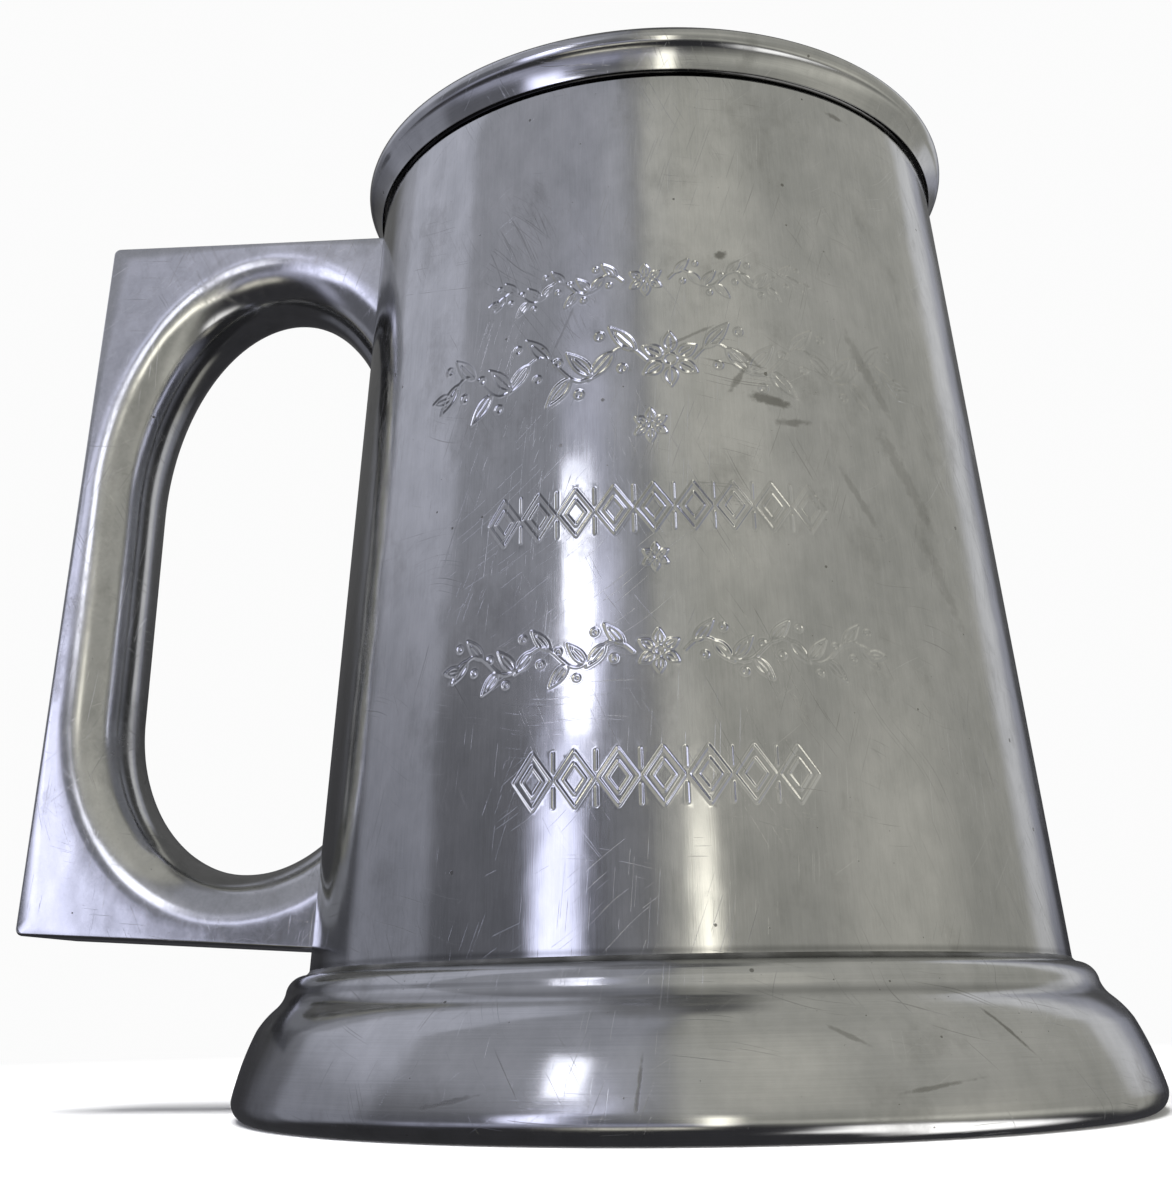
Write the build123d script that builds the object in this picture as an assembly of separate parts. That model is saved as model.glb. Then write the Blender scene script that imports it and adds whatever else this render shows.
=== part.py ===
from build123d import *

import os

# A one-pint pewter tankard without a lid. All sizes are in millimetres.
# The origin is on the body's axis, in the plane that the foot stands on. +Z is up, and the handle
# points along -X, so the XZ plane is the plane of symmetry.

# Body: a plain tapered drum
WALL_RADIUS_AT_ZERO = 45.87
WALL_TAPER = 0.054
WALL_THICKNESS = 1.5
WALL_BOTTOM = 12.0
WALL_TOP = 119.4

# Turned groove in the drum, right under the lip of the rim
GROOVE_TOP = 118.6
GROOVE_BOTTOM = 117.2
GROOVE_DEPTH = 0.75

# Rim: a cast band with a round bead at the mouth and a sharp lower lip
HEIGHT = 123.4
BEAD_RADIUS = 1.65
BEAD_CENTRE_RADIUS = 40.25
LIP_HEIGHT = 117.75
LIP_PROUD = 0.45
LIP_UNDERCUT = 0.9
BAND_MIDDLE_PROUD = 0.49
BAND_MIDDLE_RISE = 1.25
BEAD_START_OUT = 1.05
BEAD_START_DROP = 1.273
MOUTH_RADIUS = 38.55
MOUTH_RISE = 0.75
MOUTH_DROP = 1.0

# Base plate: a disc let into the bottom of the drum
PLATE_BOTTOM = 12.4
PLATE_THICKNESS = 1.5

# Foot: a hollow cast ring with a bead, a groove and a flared skirt.
# Its profile is given by (radius, height) points, from the bead down to the standing edge.
FOOT_TOP = 15.05
FOOT_COLLAR_WIDTH = 0.35
FOOT_BEAD_SIDE = (47.0, 14.4)
FOOT_BEAD_END = (47.6, 13.1)
FOOT_GROOVE = (47.92, 12.35)
SHOULDER_START = (48.55, 11.6)
SHOULDER_MIDDLE = (49.7, 10.5)
SKIRT_TOP = (50.65, 9.2)
SKIRT_MIDDLE = (52.02, 5.8)
SKIRT_BOTTOM = (52.95, 2.3)
STANDING_EDGE = (52.5, 0.75)
STANDING_RING_OUTER = 51.3
STANDING_RING_INNER = 49.6
STANDING_RING_HEIGHT = 1.4
STANDING_RING_DRAFT = 0.6
FOOT_WALL = 2.2
FOOT_HOLLOW_DROP = 0.9
LEDGE_INNER_RADIUS = 42.6
LEDGE_THICKNESS = 1.6
LEDGE_WIDTH = 2.6

# Handle: a hollow casting, square outside and rounded into an oval grip
HANDLE_WIDTH = 16.0
HANDLE_WALL = 1.8
HANDLE_REACH_AT_ZERO = 84.16
SPINE_TAPER = 0.0248
HANDLE_TOP_AT_WALL = 117.2
HANDLE_BOTTOM_AT_WALL = 18.3
TOP_RISE = 0.05
BOTTOM_RISE = 0.064
HANDLE_CORNER_RADIUS = 1.0
HANDLE_EDGE_RADIUS = 0.5
GRIP_ROUNDING = 7.4
GRIP_CENTRE = 55.65
GRIP_HALF_WIDTH = 17.9
GRIP_UPPER_CENTRE = 79.5
GRIP_UPPER_HEIGHT = 29.4
GRIP_LOWER_CENTRE = 49.3
GRIP_LOWER_HEIGHT = 21.4
HANDLE_ROOT = 20.0

# Soldered joints
SEAM = 0.15
FOOT_SEAM = 0.35
HANDLE_SEAM = 0.3
HANDLE_SEAM_INSET = 0.4
FOOT_COVE = 0.7
COVE_WIDTH = 0.3
COVE_MIDDLE_WIDTH = 0.22
COVE_MIDDLE_RISE = 0.22

# How far cutting shapes reach past the part, and how near an edge must be to count as the grip's
CUTTER_MARGIN = 5.0
CUTTER_SIZE = 100.0
NEAR = 0.1


def wall_radius(z):
    """Outside radius of the drum at height z."""
    return WALL_RADIUS_AT_ZERO - WALL_TAPER * z


def inner_radius(z):
    """Inside radius of the drum at height z."""
    return wall_radius(z) - WALL_THICKNESS


def turn(lines):
    """Turn a closed outline of lines and arcs, drawn in the XZ plane, about the Z axis."""
    face = make_face(Plane.XZ * Wire(lines))
    return revolve(face, Axis.Z, 360)


def ring_between(inner_offset, outer_offset, bottom, top):
    """A conical ring that follows the drum's taper, with its faces offset from the drum's outside."""
    corners = [
        (wall_radius(bottom) + inner_offset, bottom),
        (wall_radius(bottom) + outer_offset, bottom),
        (wall_radius(top) + outer_offset, top),
        (wall_radius(top) + inner_offset, top),
    ]
    return turn(Polyline(*corners, close=True).edges())


def body_wall():
    """The tapered drum, open at both ends, with the turned groove near its top."""
    groove_middle = (GROOVE_TOP + GROOVE_BOTTOM) / 2
    bottom_outside = (wall_radius(WALL_BOTTOM), WALL_BOTTOM)
    groove_start = (wall_radius(GROOVE_BOTTOM), GROOVE_BOTTOM)
    groove_floor = (wall_radius(groove_middle) - GROOVE_DEPTH, groove_middle)
    groove_end = (wall_radius(GROOVE_TOP), GROOVE_TOP)
    top_outside = (wall_radius(WALL_TOP), WALL_TOP)
    top_inside = (inner_radius(WALL_TOP), WALL_TOP)
    bottom_inside = (inner_radius(WALL_BOTTOM), WALL_BOTTOM)
    return turn([
        Line(bottom_outside, groove_start),
        ThreePointArc(groove_start, groove_floor, groove_end),
        Line(groove_end, top_outside),
        Line(top_outside, top_inside),
        Line(top_inside, bottom_inside),
        Line(bottom_inside, bottom_outside),
    ])


def rim_band():
    """The mouth: a bead over a slightly hollow band that ends in a sharp, undercut lip."""
    bead_centre = HEIGHT - BEAD_RADIUS
    lip = (wall_radius(LIP_HEIGHT) + LIP_PROUD, LIP_HEIGHT)
    undercut = (wall_radius(LIP_HEIGHT + LIP_UNDERCUT) + SEAM, LIP_HEIGHT + LIP_UNDERCUT)
    band_middle = (lip[0] + BAND_MIDDLE_PROUD, LIP_HEIGHT + BAND_MIDDLE_RISE)
    bead_start = (BEAD_CENTRE_RADIUS + BEAD_START_OUT, bead_centre - BEAD_START_DROP)
    bead_side = (BEAD_CENTRE_RADIUS + BEAD_RADIUS, bead_centre)
    bead_top = (BEAD_CENTRE_RADIUS, HEIGHT)
    mouth_middle = (MOUTH_RADIUS, bead_centre + MOUTH_RISE)
    mouth = (inner_radius(WALL_TOP), bead_centre - MOUTH_DROP)
    seat_inside = (inner_radius(WALL_TOP), WALL_TOP)
    seat_outside = (wall_radius(WALL_TOP) + SEAM, WALL_TOP)
    return turn([
        Line(undercut, lip),
        ThreePointArc(lip, band_middle, bead_start),
        ThreePointArc(bead_start, bead_side, bead_top),
        ThreePointArc(bead_top, mouth_middle, mouth),
        Line(mouth, seat_inside),
        Line(seat_inside, seat_outside),
        Line(seat_outside, undercut),
    ])


def rim_solder():
    """The thin seam that holds the band on the drum."""
    return ring_between(0, SEAM, LIP_HEIGHT + LIP_UNDERCUT, WALL_TOP)


def base_plate():
    """The floor of the tankard, with a conical edge that follows the drum."""
    plate_top = PLATE_BOTTOM + PLATE_THICKNESS
    lower_edge = (inner_radius(PLATE_BOTTOM) - SEAM, PLATE_BOTTOM)
    upper_edge = (inner_radius(plate_top) - SEAM, plate_top)
    corners = [(0, PLATE_BOTTOM), lower_edge, upper_edge, (0, plate_top)]
    return turn(Polyline(*corners, close=True).edges())


def base_solder():
    """The seam between the plate's edge and the inside of the drum."""
    plate_top = PLATE_BOTTOM + PLATE_THICKNESS
    inside = -WALL_THICKNESS
    return ring_between(inside - SEAM, inside, PLATE_BOTTOM, plate_top)


def foot():
    """The hollow foot ring: bead, groove, shoulder, flared skirt and a rounded standing edge."""
    collar_inside = wall_radius(FOOT_TOP) + FOOT_SEAM
    bead_start = (collar_inside + FOOT_COLLAR_WIDTH, FOOT_TOP)
    edge_end = (STANDING_RING_OUTER, 0)
    inside_edge = (STANDING_RING_INNER, 0)
    inside_low = (STANDING_RING_INNER + STANDING_RING_DRAFT, STANDING_RING_HEIGHT)
    inside_high = (SKIRT_TOP[0] - FOOT_WALL, SKIRT_TOP[1] - FOOT_HOLLOW_DROP)
    ledge_underside = (LEDGE_INNER_RADIUS + LEDGE_WIDTH, WALL_BOTTOM - LEDGE_THICKNESS)
    ledge_inside_low = (LEDGE_INNER_RADIUS, WALL_BOTTOM - LEDGE_THICKNESS)
    ledge_inside_high = (LEDGE_INNER_RADIUS, WALL_BOTTOM)
    collar_bottom = (wall_radius(WALL_BOTTOM) + FOOT_SEAM, WALL_BOTTOM)
    collar_top = (collar_inside, FOOT_TOP)
    return turn([
        Line(collar_top, bead_start),
        ThreePointArc(bead_start, FOOT_BEAD_SIDE, FOOT_BEAD_END),
        ThreePointArc(FOOT_BEAD_END, FOOT_GROOVE, SHOULDER_START),
        ThreePointArc(SHOULDER_START, SHOULDER_MIDDLE, SKIRT_TOP),
        ThreePointArc(SKIRT_TOP, SKIRT_MIDDLE, SKIRT_BOTTOM),
        ThreePointArc(SKIRT_BOTTOM, STANDING_EDGE, edge_end),
        Line(edge_end, inside_edge),
        Line(inside_edge, inside_low),
        Line(inside_low, inside_high),
        Line(inside_high, ledge_underside),
        Line(ledge_underside, ledge_inside_low),
        Line(ledge_inside_low, ledge_inside_high),
        Line(ledge_inside_high, collar_bottom),
        Line(collar_bottom, collar_top),
    ])


def foot_solder():
    """The seam inside the foot's collar, with the small cove that shows above it."""
    cove_top = FOOT_TOP + FOOT_COVE
    collar_bottom = (wall_radius(WALL_BOTTOM) + FOOT_SEAM, WALL_BOTTOM)
    collar_top = (wall_radius(FOOT_TOP) + FOOT_SEAM, FOOT_TOP)
    cove_outside = (collar_top[0] + COVE_WIDTH, FOOT_TOP)
    cove_middle = (wall_radius(cove_top) + COVE_MIDDLE_WIDTH, FOOT_TOP + COVE_MIDDLE_RISE)
    cove_end = (wall_radius(cove_top), cove_top)
    wall_bottom = (wall_radius(WALL_BOTTOM), WALL_BOTTOM)
    return turn([
        Line(wall_bottom, collar_bottom),
        Line(collar_bottom, collar_top),
        Line(collar_top, cove_outside),
        ThreePointArc(cove_outside, cove_middle, cove_end),
        Line(cove_end, wall_bottom),
    ])


def handle_outline(inset):
    """The handle's square outside, drawn past the drum's wall, with every side moved in by inset."""
    reach_top = HANDLE_REACH_AT_ZERO - SPINE_TAPER * HEIGHT - inset
    reach_bottom = HANDLE_REACH_AT_ZERO - inset
    top_at_root = HANDLE_TOP_AT_WALL - TOP_RISE * (wall_radius(HEIGHT) - HANDLE_ROOT) - inset
    top_at_spine = top_at_root + TOP_RISE * (reach_top - HANDLE_ROOT)
    bottom_at_root = HANDLE_BOTTOM_AT_WALL - BOTTOM_RISE * (wall_radius(0) - HANDLE_ROOT) + inset
    bottom_at_spine = bottom_at_root + BOTTOM_RISE * (reach_bottom - HANDLE_ROOT)
    reach_at_bottom = reach_bottom - SPINE_TAPER * bottom_at_spine
    corners = [
        (-HANDLE_ROOT, bottom_at_root),
        (-HANDLE_ROOT, top_at_root),
        (-reach_top, top_at_spine),
        (-reach_at_bottom, bottom_at_spine),
    ]
    return make_face(Polyline(*corners, close=True).edges())


def grip_outline(growth):
    """The oval grip: two half ellipses joined by straight sides, grown by growth."""
    half_width = GRIP_HALF_WIDTH + growth
    straight = GRIP_UPPER_CENTRE - GRIP_LOWER_CENTRE
    middle = (GRIP_UPPER_CENTRE + GRIP_LOWER_CENTRE) / 2
    upper = Pos(-GRIP_CENTRE, GRIP_UPPER_CENTRE) * Ellipse(half_width, GRIP_UPPER_HEIGHT + growth)
    lower = Pos(-GRIP_CENTRE, GRIP_LOWER_CENTRE) * Ellipse(half_width, GRIP_LOWER_HEIGHT + growth)
    sides = Pos(-GRIP_CENTRE, middle) * Rectangle(2 * half_width, straight)
    half_plane = Rectangle(CUTTER_SIZE, CUTTER_SIZE)
    upper_half = upper & Pos(-GRIP_CENTRE, GRIP_UPPER_CENTRE + CUTTER_SIZE / 2) * half_plane
    lower_half = lower & Pos(-GRIP_CENTRE, GRIP_LOWER_CENTRE - CUTTER_SIZE / 2) * half_plane
    return upper_half + sides + lower_half


def handle_block(inset, growth, width, rounding, corner_radius, edge_radius):
    """A square block with the oval grip through it and the grip's edges rounded."""
    block = extrude(Plane.XZ * handle_outline(inset), width / 2, both=True)
    spine_corners = block.edges().filter_by(Axis.Y).sort_by(Axis.X)[:2]
    block = fillet(spine_corners, corner_radius)
    if edge_radius > 0:
        outer_edges = block.faces().filter_by(Axis.Y).edges()
        block = fillet(outer_edges, edge_radius)
    block = block - extrude(Plane.XZ * grip_outline(growth), width, both=True)
    half_grip = GRIP_HALF_WIDTH + growth + NEAR
    grip_bottom = GRIP_LOWER_CENTRE - GRIP_LOWER_HEIGHT - growth - NEAR
    grip_top = GRIP_UPPER_CENTRE + GRIP_UPPER_HEIGHT + growth + NEAR
    grip_edges = [
        edge
        for face in block.faces().filter_by(Axis.Y)
        for edge in face.edges()
        if abs(edge.center().X + GRIP_CENTRE) < half_grip
        and grip_bottom < edge.center().Z < grip_top
    ]
    return fillet(grip_edges, rounding)


def cone_at(offset):
    """A solid cone that follows the drum's outside, offset outwards."""
    lower_radius = wall_radius(-CUTTER_MARGIN) + offset
    upper_radius = wall_radius(HEIGHT + CUTTER_MARGIN) + offset
    height = HEIGHT + 2 * CUTTER_MARGIN
    return Pos(0, 0, HEIGHT / 2) * Cone(lower_radius, upper_radius, height)


def handle_cavity():
    """The hollow that is left when the pewter is poured out of the handle's mould."""
    return handle_block(
        HANDLE_WALL,
        HANDLE_WALL,
        HANDLE_WIDTH - 2 * HANDLE_WALL,
        GRIP_ROUNDING - HANDLE_WALL,
        HANDLE_CORNER_RADIUS,
        0,
    )


def handle():
    """The hollow handle, cut to the drum's taper with room for the two soldered joints."""
    outside = handle_block(
        0, 0, HANDLE_WIDTH, GRIP_ROUNDING, HANDLE_CORNER_RADIUS, HANDLE_EDGE_RADIUS
    )
    return outside - cone_at(HANDLE_SEAM) - handle_cavity()


def handle_solder():
    """The upper and the lower soldered joint: what is left between the handle's ends and the wall."""
    inset = HANDLE_SEAM_INSET
    pad = handle_block(
        inset, inset, HANDLE_WIDTH - 2 * inset, GRIP_ROUNDING - inset, HANDLE_CORNER_RADIUS, 0
    )
    pad = (pad & cone_at(HANDLE_SEAM)) - cone_at(0) - handle_cavity()
    pads = pad.solids().filter_by(lambda solid: solid.center().X < 0).sort_by(Axis.Z)
    return {"lower_handle_solder": pads[0], "upper_handle_solder": pads[-1]}


def tankard():
    """Every piece of the tankard, by name."""
    pieces = {
        "body_wall": body_wall(),
        "rim_band": rim_band(),
        "rim_solder": rim_solder(),
        "base_plate": base_plate(),
        "base_solder": base_solder(),
        "foot": foot(),
        "foot_solder": foot_solder(),
        "handle": handle(),
    }
    pieces.update(handle_solder())
    return pieces


os.makedirs("parts", exist_ok=True)
for name, piece in tankard().items():
    export_step(piece, f"parts/{name}.step")
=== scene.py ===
import math

import bmesh
import bpy
import numpy as np
from mathutils import Matrix, Vector


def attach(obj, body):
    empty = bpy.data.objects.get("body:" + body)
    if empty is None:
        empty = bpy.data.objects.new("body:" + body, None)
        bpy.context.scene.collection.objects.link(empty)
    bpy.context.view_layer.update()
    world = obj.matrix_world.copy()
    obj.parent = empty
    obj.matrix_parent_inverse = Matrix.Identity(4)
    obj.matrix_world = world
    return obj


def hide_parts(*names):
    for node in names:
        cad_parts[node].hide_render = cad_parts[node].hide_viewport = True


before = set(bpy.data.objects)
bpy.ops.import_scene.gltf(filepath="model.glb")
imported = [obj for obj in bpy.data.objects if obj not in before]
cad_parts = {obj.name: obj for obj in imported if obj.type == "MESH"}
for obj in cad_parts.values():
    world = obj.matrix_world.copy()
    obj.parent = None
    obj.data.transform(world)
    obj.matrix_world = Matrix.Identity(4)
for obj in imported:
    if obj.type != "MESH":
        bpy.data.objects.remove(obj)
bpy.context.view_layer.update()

# A lidless pewter tankard. Lengths named here are in millimetres, and MM turns them into metres.
# The foot stands on z = 0, the drum's axis is Z and the handle points along -X.
MM = 0.001

# The drum and its neighbours, the same sizes as the CAD model has
WALL_RADIUS_AT_ZERO = 45.87
WALL_TAPER = 0.054
WALL_THICKNESS = 1.5
WALL_BOTTOM = 12.0
WALL_TOP = 119.4
GROOVE_TOP = 118.6
GROOVE_BOTTOM = 117.2
GROOVE_DEPTH = 0.75
HEIGHT = 123.4
BEAD_RADIUS = 1.65
BEAD_CENTRE_RADIUS = 40.25
BEAD_START_OUT = 1.05
BEAD_START_DROP = 1.273
LIP_HEIGHT = 117.75
LIP_PROUD = 0.45
LIP_UNDERCUT = 0.9
BAND_MIDDLE_PROUD = 0.49
BAND_MIDDLE_RISE = 1.25
MOUTH_MIDDLE_RADIUS = 38.55
PLATE_BOTTOM = 12.4
PLATE_THICKNESS = 1.5
FOOT_TOP = 15.05
COLLAR_WIDTH = 0.35
FOOT_COVE = 0.7
COVE_OUT = 0.3
COVE_MIDDLE = 0.22
SEAM = 0.15
FOOT_SEAM = 0.35
# How deep the cove's inner side lies in the wall, so that no gap shows
BURIED = 0.06

# The handle, the same sizes as the CAD model has
HANDLE_WIDTH = 16.0
HANDLE_REACH_AT_ZERO = 84.16
SPINE_TAPER = 0.0248
HANDLE_TOP_AT_WALL = 117.2
HANDLE_BOTTOM_AT_WALL = 18.3
TOP_RISE = 0.05
BOTTOM_RISE = 0.064
HANDLE_CORNER_RADIUS = 1.0
HANDLE_EDGE_RADIUS = 0.5
GRIP_ROUNDING = 7.4
GRIP_CENTRE = 55.65
GRIP_HALF_WIDTH = 17.9
GRIP_UPPER_CENTRE = 79.5
GRIP_UPPER_HEIGHT = 29.4
GRIP_LOWER_CENTRE = 49.3
GRIP_LOWER_HEIGHT = 21.4
# About how long the grip's upper and lower round ends are
GRIP_UPPER_LENGTH = math.pi * 24
GRIP_LOWER_LENGTH = math.pi * 20
HANDLE_ROOT = 20.0
HANDLE_SEAM = 0.3

# The camera
CAMERA_AZIMUTH = -86.0
CAMERA_DISTANCE = 182.3
CAMERA_HEIGHT = 10.67
CAMERA_PAN = -7.989
CAMERA_TILT = 21.591
CAMERA_ROLL = -0.968
CAMERA_LENS = 42.5
CAMERA_SHIFT = (0.0121, -0.1137)

# How finely round pieces are turned, and how finely the cone that cuts the handle's ends
SEGMENTS = 360
CUTTER_SEGMENTS = 720
# The radius that turns an azimuth into a length on the materials' patterns
PATTERN_RADIUS = 43.0


def wall_radius(z):
    """Outside radius of the drum at height z."""
    return WALL_RADIUS_AT_ZERO - WALL_TAPER * z


def inner_radius(z):
    """Inside radius of the drum at height z."""
    return wall_radius(z) - WALL_THICKNESS


# ---------------------------------------------------------------- outlines

def line(start, end, steps=1):
    """Points from start to end, without the end."""
    return [
        (start[0] + (end[0] - start[0]) * i / steps, start[1] + (end[1] - start[1]) * i / steps)
        for i in range(steps)
    ]


def arc(start, middle, end, steps=10):
    """Points on the circle through three points, from start to end, without the end."""
    ax, ay = start
    bx, by = middle
    cx, cy = end
    d = 2 * (ax * (by - cy) + bx * (cy - ay) + cx * (ay - by))
    a2 = ax * ax + ay * ay
    b2 = bx * bx + by * by
    c2 = cx * cx + cy * cy
    ux = (a2 * (by - cy) + b2 * (cy - ay) + c2 * (ay - by)) / d
    uy = (a2 * (cx - bx) + b2 * (ax - cx) + c2 * (bx - ax)) / d
    radius = math.hypot(ax - ux, ay - uy)
    first = math.atan2(ay - uy, ax - ux)
    through = (math.atan2(by - uy, bx - ux) - first) % math.tau
    last = (math.atan2(cy - uy, cx - ux) - first) % math.tau
    if through > last:
        last -= math.tau
    return [
        (ux + radius * math.cos(first + last * i / steps),
         uy + radius * math.sin(first + last * i / steps))
        for i in range(steps)
    ]


def soft_corner(before, corner, after, radius, steps=4):
    """Points that round a corner of an outline, without the last one."""
    to_before = Vector(before) - Vector(corner)
    to_after = Vector(after) - Vector(corner)
    start = Vector(corner) + to_before.normalized() * radius
    end = Vector(corner) + to_after.normalized() * radius
    middle = (start + end) / 4 + Vector(corner) / 2
    return arc(tuple(start), tuple(middle), tuple(end), steps)


# ---------------------------------------------------------------- mesh helpers

def new_object(name, vertices, faces):
    """A smooth-shaded object from vertices in millimetres."""
    mesh = bpy.data.meshes.new(name)
    mesh.from_pydata([tuple(c * MM for c in v) for v in vertices], [], faces)
    mesh.validate()
    piece = bpy.data.objects.new(name, mesh)
    bpy.context.scene.collection.objects.link(piece)
    finish_mesh(mesh)
    return piece


def finish_mesh(mesh, angle=35):
    """Outward faces, smooth shading and sharp creases."""
    work = bmesh.new()
    work.from_mesh(mesh)
    bmesh.ops.recalc_face_normals(work, faces=work.faces)
    work.to_mesh(mesh)
    work.free()
    mesh.polygons.foreach_set("use_smooth", [True] * len(mesh.polygons))
    mesh.set_sharp_from_angle(angle=math.radians(angle))


def turned(name, outline):
    """A closed outline of (radius, height) points turned about the Z axis."""
    count = len(outline)
    vertices = []
    faces = []
    for i in range(SEGMENTS):
        turn = math.tau * i / SEGMENTS
        for radius, height in outline:
            vertices.append((radius * math.cos(turn), radius * math.sin(turn), height))
        here = i * count
        there = (i + 1) % SEGMENTS * count
        for j in range(count):
            k = (j + 1) % count
            faces.append((here + j, here + k, there + k, there + j))
    return new_object(name, vertices, faces)


def turned_disc(name, outline, segments=SEGMENTS):
    """An outline that starts and ends on the axis, turned about it."""
    inner = outline[1:-1]
    count = len(inner)
    vertices = []
    faces = []
    for i in range(segments):
        turn = math.tau * i / segments
        for radius, height in inner:
            vertices.append((radius * math.cos(turn), radius * math.sin(turn), height))
        here = i * count
        there = (i + 1) % segments * count
        for j in range(count - 1):
            faces.append((here + j, here + j + 1, there + j + 1, there + j))
    vertices += [(0, 0, outline[0][1]), (0, 0, outline[-1][1])]
    for i in range(segments):
        here = i * count
        there = (i + 1) % segments * count
        faces.append((segments * count, here, there))
        faces.append((segments * count + 1, there + count - 1, here + count - 1))
    return new_object(name, vertices, faces)


# ---------------------------------------------------------------- engraved ornament
# Strokes are lines of (along, up) points in millimetres on the drum's unrolled front.

FRONT_AZIMUTH = -87.5
STROKE_HALF_WIDTH = 0.19
STROKE_DEPTH = 0.09
BURR = 0.16
STROKE_REACH = 0.32
FAR_AWAY = 9.0
ENGRAVED_BOTTOM = 26.0
ENGRAVED_TOP = 94.0
ENGRAVED_TURN = 42
FRONT_STEP = 1.2
BACK_STEP = 3.5
FIRST_FACE_SIZE = 1.3


def leaf(x, y, angle, length, width):
    """A pointed leaf that grows from (x, y), with its midrib."""
    outline = []
    steps = 9
    for side in (1, -1):
        for i in range(steps + 1):
            t = i / steps if side == 1 else 1 - i / steps
            outline.append((t * length, side * width / 2 * math.sin(math.pi * t ** 0.8)))
    rib = [(0, 0), (length * 0.72, 0)]
    turn = Matrix.Rotation(math.radians(angle), 2)
    place = Vector((x, y))
    return [[tuple(turn @ Vector(p) + place) for p in stroke] for stroke in (outline, rib)]


def ring(x, y, radius, steps=14):
    """A small engraved circle."""
    turns = [math.tau * i / steps for i in range(steps + 1)]
    return [[(x + radius * math.cos(a), y + radius * math.sin(a)) for a in turns]]


def rosette(x, y, radius):
    """Six leaves round a point."""
    strokes = ring(x, y, radius * 0.22, 8)
    for i in range(6):
        angle = 60 * i + 30
        reach = radius * 0.3
        start = (x + reach * math.cos(math.radians(angle)), y + reach * math.sin(math.radians(angle)))
        strokes += leaf(*start, angle, radius * 0.7, radius * 0.42)
    return strokes


def vine(y, half_length, height, waves, leaf_length, middle=0.0):
    """A wavy stem with leaves on both sides, mirrored about its middle."""
    strokes = []
    steps = 12 * waves
    amplitude = height * 0.2
    for side in (1, -1):
        stem = []
        for i in range(steps + 1):
            t = i / steps
            stem.append((
                middle + side * (2.6 + t * (half_length - 2.6)),
                y + amplitude * math.sin(math.pi * waves * t),
            ))
        strokes.append(stem)
        for k in range(2 * waves):
            t = (k + 0.5) / (2 * waves)
            at = stem[round(t * steps)]
            upward = 1 if k % 2 == 0 else -1
            lean = 48 * upward
            angle = lean if side == 1 else 180 - lean
            strokes += leaf(*at, angle, leaf_length, leaf_length * 0.34)
            tendril = at[0] + side * leaf_length * 0.35
            strokes += ring(tendril, at[1] - upward * leaf_length * 0.5, leaf_length * 0.11, 8)
        tip_angle = 0 if side == 1 else 180
        strokes += leaf(*stem[-1], tip_angle, leaf_length * 0.7, leaf_length * 0.3)
    strokes += rosette(middle, y, height * 0.36)
    return strokes


def lozenges(y, half_length, height, count):
    """A chain of lozenges with a small ring in each and ticks between them."""
    strokes = []
    width = 2 * half_length / count
    for i in range(count):
        x = -half_length + width * (i + 0.5)
        half = width * 0.46
        top = height / 2
        strokes.append([(x - half, y), (x, y + top), (x + half, y), (x, y - top), (x - half, y)])
        inner = 0.55
        strokes.append([
            (x - half * inner, y), (x, y + top * inner), (x + half * inner, y),
            (x, y - top * inner), (x - half * inner, y),
        ])
        if i > 0:
            joint = x - width / 2
            for side in (1, -1):
                strokes.append([(joint, y + side * top * 0.3), (joint, y + side * top * 0.95)])
    return strokes


def ornament_rows():
    """The strokes of every row, from the top row to the bottom row."""
    return (
        vine(88.2, 17.8, 5.4, 5, 2.3)
        + vine(77.8, 27.4, 9.4, 5, 4.3, 2.4)
        + rosette(0, 69.8, 1.9)
        + lozenges(60.2, 19.0, 5.4, 9)
        + rosette(0, 54.6, 1.4)
        + vine(44.5, 22.4, 6.2, 5, 2.9)
        + lozenges(32.0, 15.6, 5.6, 7)
    )


def stroke_distances(along, up, strokes):
    """How far each point on the unrolled wall is from the middle of the nearest stroke."""
    nearest = np.full(along.shape, FAR_AWAY)
    reach = 1.6
    for stroke in strokes:
        for (x0, y0), (x1, y1) in zip(stroke, stroke[1:]):
            dx = x1 - x0
            dy = y1 - y0
            length2 = max(dx * dx + dy * dy, 1e-9)
            near = (
                (along > min(x0, x1) - reach) & (along < max(x0, x1) + reach)
                & (up > min(y0, y1) - reach) & (up < max(y0, y1) + reach)
            )
            t = ((along[near] - x0) * dx + (up[near] - y0) * dy) / length2
            t = np.clip(t, 0, 1)
            distance = np.hypot(along[near] - x0 - t * dx, up[near] - y0 - t * dy)
            nearest[near] = np.minimum(nearest[near], distance)
    return nearest


def stroke_depths(nearest):
    """How far the wall is pushed along its normal: a cut with a small burr on each side."""
    inside = np.clip(1 - (nearest / STROKE_HALF_WIDTH) ** 2, 0, 1)
    beside = np.exp(-((nearest - 1.25 * STROKE_HALF_WIDTH) / (0.35 * STROKE_HALF_WIDTH)) ** 2)
    return STROKE_DEPTH * (BURR * beside - inside ** 1.3)


# ---------------------------------------------------------------- the drum

def drum_turns():
    """Azimuths of the drum's first grid in degrees: close together where the front is engraved."""
    fine = np.arange(FRONT_AZIMUTH - ENGRAVED_TURN, FRONT_AZIMUTH + ENGRAVED_TURN, FRONT_STEP)
    coarse = np.arange(fine[-1] + 2, fine[0] + 360 - 2, BACK_STEP)
    return np.radians(np.concatenate([fine, coarse]))


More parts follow.
